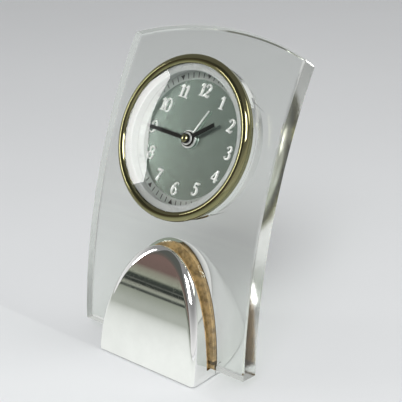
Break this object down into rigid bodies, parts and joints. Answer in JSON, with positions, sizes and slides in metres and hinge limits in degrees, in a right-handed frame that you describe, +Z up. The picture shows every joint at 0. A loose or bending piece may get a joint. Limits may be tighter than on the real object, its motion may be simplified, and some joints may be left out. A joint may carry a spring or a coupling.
{
  "type": "desk clock",
  "caption": "Bent clear glass plate with an arched top, gripped between two polished arched base halves, carrying a round alarm clock insert with a gilt bezel.",
  "frame": {"origin": "On the table surface, under the middle of the lower front edge of the glass plate", "axes": "+X to the right seen from the front, +Y to the back, +Z up; the dial looks along -Y and upwards"},
  "size_m": [0.088, 0.0608, 0.129],
  "materials": {
    "blackHand": "black lacquer",
    "blackPlastic": "moulded",
    "board": "solder mask",
    "brass": "turned",
    "bronzePad": "golden brown bonding pad",
    "chrome": "polished mirror",
    "darkFelt": "dense dark felt",
    "dialSilver": "satin silver",
    "gilt": "polished gilt",
    "glass": "clear polished",
    "magnet": "sintered magnet",
    "rubber": "translucent ridged rubber",
    "silver": "silver plated",
    "steel": "plain steel",
    "whitePlastic": "acetal"
  },
  "bodies": {
    "frame": {"glass_plate": "glass", "base_front_casting": "chrome", "base_rear_casting": "chrome", "front_bonding_pad": "bronzePad", "rear_bonding_pad": "bronzePad", "base_tie_plate": "steel", "foot_pad": "darkFelt", "tie_screw_1": "steel", "tie_screw_2": "steel", "tie_screw_3": "steel", "tie_screw_4": "steel", "bezel": "gilt", "lens": "glass", "case_ring": "silver", "grip_band": "rubber", "chapter_ring": "silver", "dial": "dialSilver", "main_plate": "blackPlastic", "train_bridge": "whitePlastic", "stator": "steel", "coil_core": "steel", "coil": "steel", "circuit_board": "board", "quartz_crystal": "silver", "clock_chip": "blackPlastic", "buzzer_disc": "brass", "battery": "silver", "negative_contact": "brass", "positive_contact": "brass", "rear_cover": "blackPlastic", "cover_screw_1": "steel", "cover_screw_2": "steel", "cover_screw_3": "steel"},
    "minute": {"centre_arbor": "brass", "minute_hand": "blackHand", "centre_cap": "gilt"},
    "hour": {"hour_wheel": "whitePlastic", "hour_hand": "blackHand"},
    "motion_wheel": {"minute_wheel": "whitePlastic"},
    "time_setting": {"time_setting_arbor": "whitePlastic", "time_knob": "blackPlastic"},
    "alarm": {"alarm_wheel": "whitePlastic", "alarm_hand": "silver"},
    "alarm_setting": {"alarm_setting_arbor": "whitePlastic", "alarm_knob": "blackPlastic"},
    "rotor_body": {"rotor": "magnet"},
    "third": {"third_wheel": "whitePlastic"},
    "drive": {"drive_wheel": "whitePlastic"},
    "hatch": {"battery_hatch": "blackPlastic"},
    "switch": {"alarm_switch": "whitePlastic"}
  },
  "joints": [
    {"name": "minute_turn", "type": "hinge", "parent": "frame", "child": "minute", "pos_m": [0, 0.02167, 0.08871], "axis": [0, -0.9102, 0.4141], "continuous": true},
    {"name": "hour_turn", "type": "hinge", "parent": "frame", "child": "hour", "pos_m": [0, 0.02167, 0.08871], "axis": [0, -0.9102, 0.4141], "continuous": true},
    {"name": "motion_wheel_turn", "type": "hinge", "parent": "frame", "child": "motion_wheel", "pos_m": [-0.00844, 0.02071, 0.08661], "axis": [0, -0.9102, 0.4141], "continuous": true},
    {"name": "time_knob_turn", "type": "hinge", "parent": "frame", "child": "time_setting", "pos_m": [-0.01599, 0.01889, 0.08259], "axis": [0, -0.9102, 0.4141], "continuous": true},
    {"name": "alarm_turn", "type": "hinge", "parent": "frame", "child": "alarm", "pos_m": [0, 0.02167, 0.08871], "axis": [0, -0.9102, 0.4141], "continuous": true},
    {"name": "alarm_knob_turn", "type": "hinge", "parent": "frame", "child": "alarm_setting", "pos_m": [0.00876, 0.0196, 0.08416], "axis": [0, -0.9102, 0.4141], "continuous": true},
    {"name": "rotor_turn", "type": "hinge", "parent": "frame", "child": "rotor_body", "pos_m": [0.01108, 0.0252, 0.09646], "axis": [0, -0.9102, 0.4141], "continuous": true},
    {"name": "third_wheel_turn", "type": "hinge", "parent": "frame", "child": "third", "pos_m": [0.00469, 0.02447, 0.09487], "axis": [0, -0.9102, 0.4141], "continuous": true},
    {"name": "drive_wheel_turn", "type": "hinge", "parent": "frame", "child": "drive", "pos_m": [0, 0.02167, 0.08871], "axis": [0, -0.9102, 0.4141], "continuous": true},
    {"name": "battery_hatch_turn", "type": "hinge", "parent": "frame", "child": "hatch", "pos_m": [-0.00139, 0.0274, 0.06749], "axis": [0, 0.9102, -0.4141], "range_deg": [0, 60]},
    {"name": "alarm_switch_slide", "type": "slide", "parent": "frame", "child": "switch", "axis": [0.9966, -0.0339, -0.0746], "range_m": [0, 0.003]}
  ],
  "couplings": [
    {"joint": "hour_turn", "follows": "minute_turn", "ratio": 0.083333},
    {"joint": "motion_wheel_turn", "follows": "minute_turn", "ratio": -0.33333},
    {"joint": "time_knob_turn", "follows": "minute_turn", "ratio": 1},
    {"joint": "alarm_knob_turn", "follows": "alarm_turn", "ratio": -2.5},
    {"joint": "third_wheel_turn", "follows": "rotor_turn", "ratio": -0.13333},
    {"joint": "drive_wheel_turn", "follows": "rotor_turn", "ratio": 0.016667}
  ]
}
